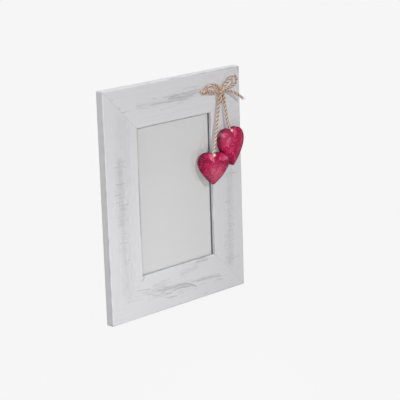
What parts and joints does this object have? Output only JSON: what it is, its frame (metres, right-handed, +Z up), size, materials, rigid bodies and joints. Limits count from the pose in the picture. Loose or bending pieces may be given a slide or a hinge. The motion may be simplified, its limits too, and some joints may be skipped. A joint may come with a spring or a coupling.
{
  "type": "photo frame",
  "caption": "Free-standing whitewashed wooden photo frame with a glazed window, a folding easel strut, and a twine bow on its corner carrying carved wooden hearts.",
  "frame": {"origin": "on the table, under the middle of the standing frame's box", "axes": "+X to the right as seen from the front, -Y towards the viewer of the picture, +Z up; the frame leans back by 10 degrees towards +Y"},
  "size_m": [0.175, 0.0608, 0.22],
  "materials": {
    "whitewashed_wood": "distressed whitewash",
    "glass": "polished",
    "card": "plain paper card",
    "hardboard": "smooth hardboard",
    "steel": "zinc plated",
    "jute_twine": "two-ply jute",
    "painted_wood": "raspberry paint with whitewash rubbed in"
  },
  "bodies": {
    "frame": {"top_rail": "whitewashed_wood", "bottom_rail": "whitewashed_wood", "left_stile": "whitewashed_wood", "right_stile": "whitewashed_wood", "v_nail_top_left": "steel", "v_nail_top_right": "steel", "v_nail_bottom_left": "steel", "v_nail_bottom_right": "steel", "glass_pane": "glass", "photo_card": "card", "backing_board": "hardboard", "button_screw_top_left": "steel", "button_screw_top_right": "steel", "button_screw_bottom_left": "steel", "button_screw_bottom_right": "steel", "hinge_fixed_leaf": "steel", "hinge_pin": "steel", "fixed_leaf_rivet_left": "steel", "fixed_leaf_rivet_right": "steel", "bow_knot": "jute_twine", "left_tail_knot": "jute_twine", "bow_left_loop": "jute_twine", "bow_right_loop": "jute_twine", "bow_left_tail": "jute_twine", "bow_right_tail": "jute_twine", "knot_bight": "jute_twine"},
    "strut": {"strut_leg": "hardboard", "hinge_moving_leaf": "steel", "moving_leaf_rivet_left": "steel", "moving_leaf_rivet_right": "steel"},
    "top_left_button": {"turn_button_top_left": "steel"},
    "top_right_button": {"turn_button_top_right": "steel"},
    "bottom_left_button": {"turn_button_bottom_left": "steel"},
    "bottom_right_button": {"turn_button_bottom_right": "steel"},
    "left_cord_top": {"left_cord_top": "jute_twine"},
    "left_heart": {"left_heart_cord": "jute_twine", "left_heart": "painted_wood"},
    "right_cord_top": {"right_cord_top": "jute_twine"},
    "right_heart": {"right_heart_cord": "jute_twine", "right_heart": "painted_wood"}
  },
  "joints": [
    {"name": "strut_fold", "type": "hinge", "parent": "frame", "child": "strut", "pos_m": [0, 0.00762, 0.15722], "axis": [1, 0, 0], "range_deg": [-18, 0]},
    {"name": "top_left_button_turn", "type": "hinge", "parent": "frame", "child": "top_left_button", "pos_m": [-0.06, 0.00471, 0.15062], "axis": [0, 0.9848, -0.1736], "continuous": true},
    {"name": "top_right_button_turn", "type": "hinge", "parent": "frame", "child": "top_right_button", "pos_m": [0.06, 0.00471, 0.15062], "axis": [0, 0.9848, -0.1736], "continuous": true},
    {"name": "bottom_left_button_turn", "type": "hinge", "parent": "frame", "child": "bottom_left_button", "pos_m": [-0.06, -0.00988, 0.0679], "axis": [0, 0.9848, -0.1736], "continuous": true},
    {"name": "bottom_right_button_turn", "type": "hinge", "parent": "frame", "child": "bottom_right_button", "pos_m": [0.06, -0.00988, 0.0679], "axis": [0, 0.9848, -0.1736], "continuous": true},
    {"name": "left_heart_swing", "type": "hinge", "parent": "frame", "child": "left_cord_top", "pos_m": [0.0555, 0.00006, 0.19795], "axis": [0, -0.9848, 0.1736], "range_deg": [-35, 0]},
    {"name": "left_heart_lift", "type": "hinge", "parent": "left_cord_top", "child": "left_heart", "pos_m": [0.054, -0.00221, 0.18738], "axis": [-1, 0, 0], "range_deg": [0, 60]},
    {"name": "right_heart_swing", "type": "hinge", "parent": "frame", "child": "right_cord_top", "pos_m": [0.0601, 0.00006, 0.19795], "axis": [0, -0.9848, 0.1736], "range_deg": [0, 20]},
    {"name": "right_heart_lift", "type": "hinge", "parent": "right_cord_top", "child": "right_heart", "pos_m": [0.0623, -0.00221, 0.18738], "axis": [-1, 0, 0], "range_deg": [0, 60]}
  ]
}
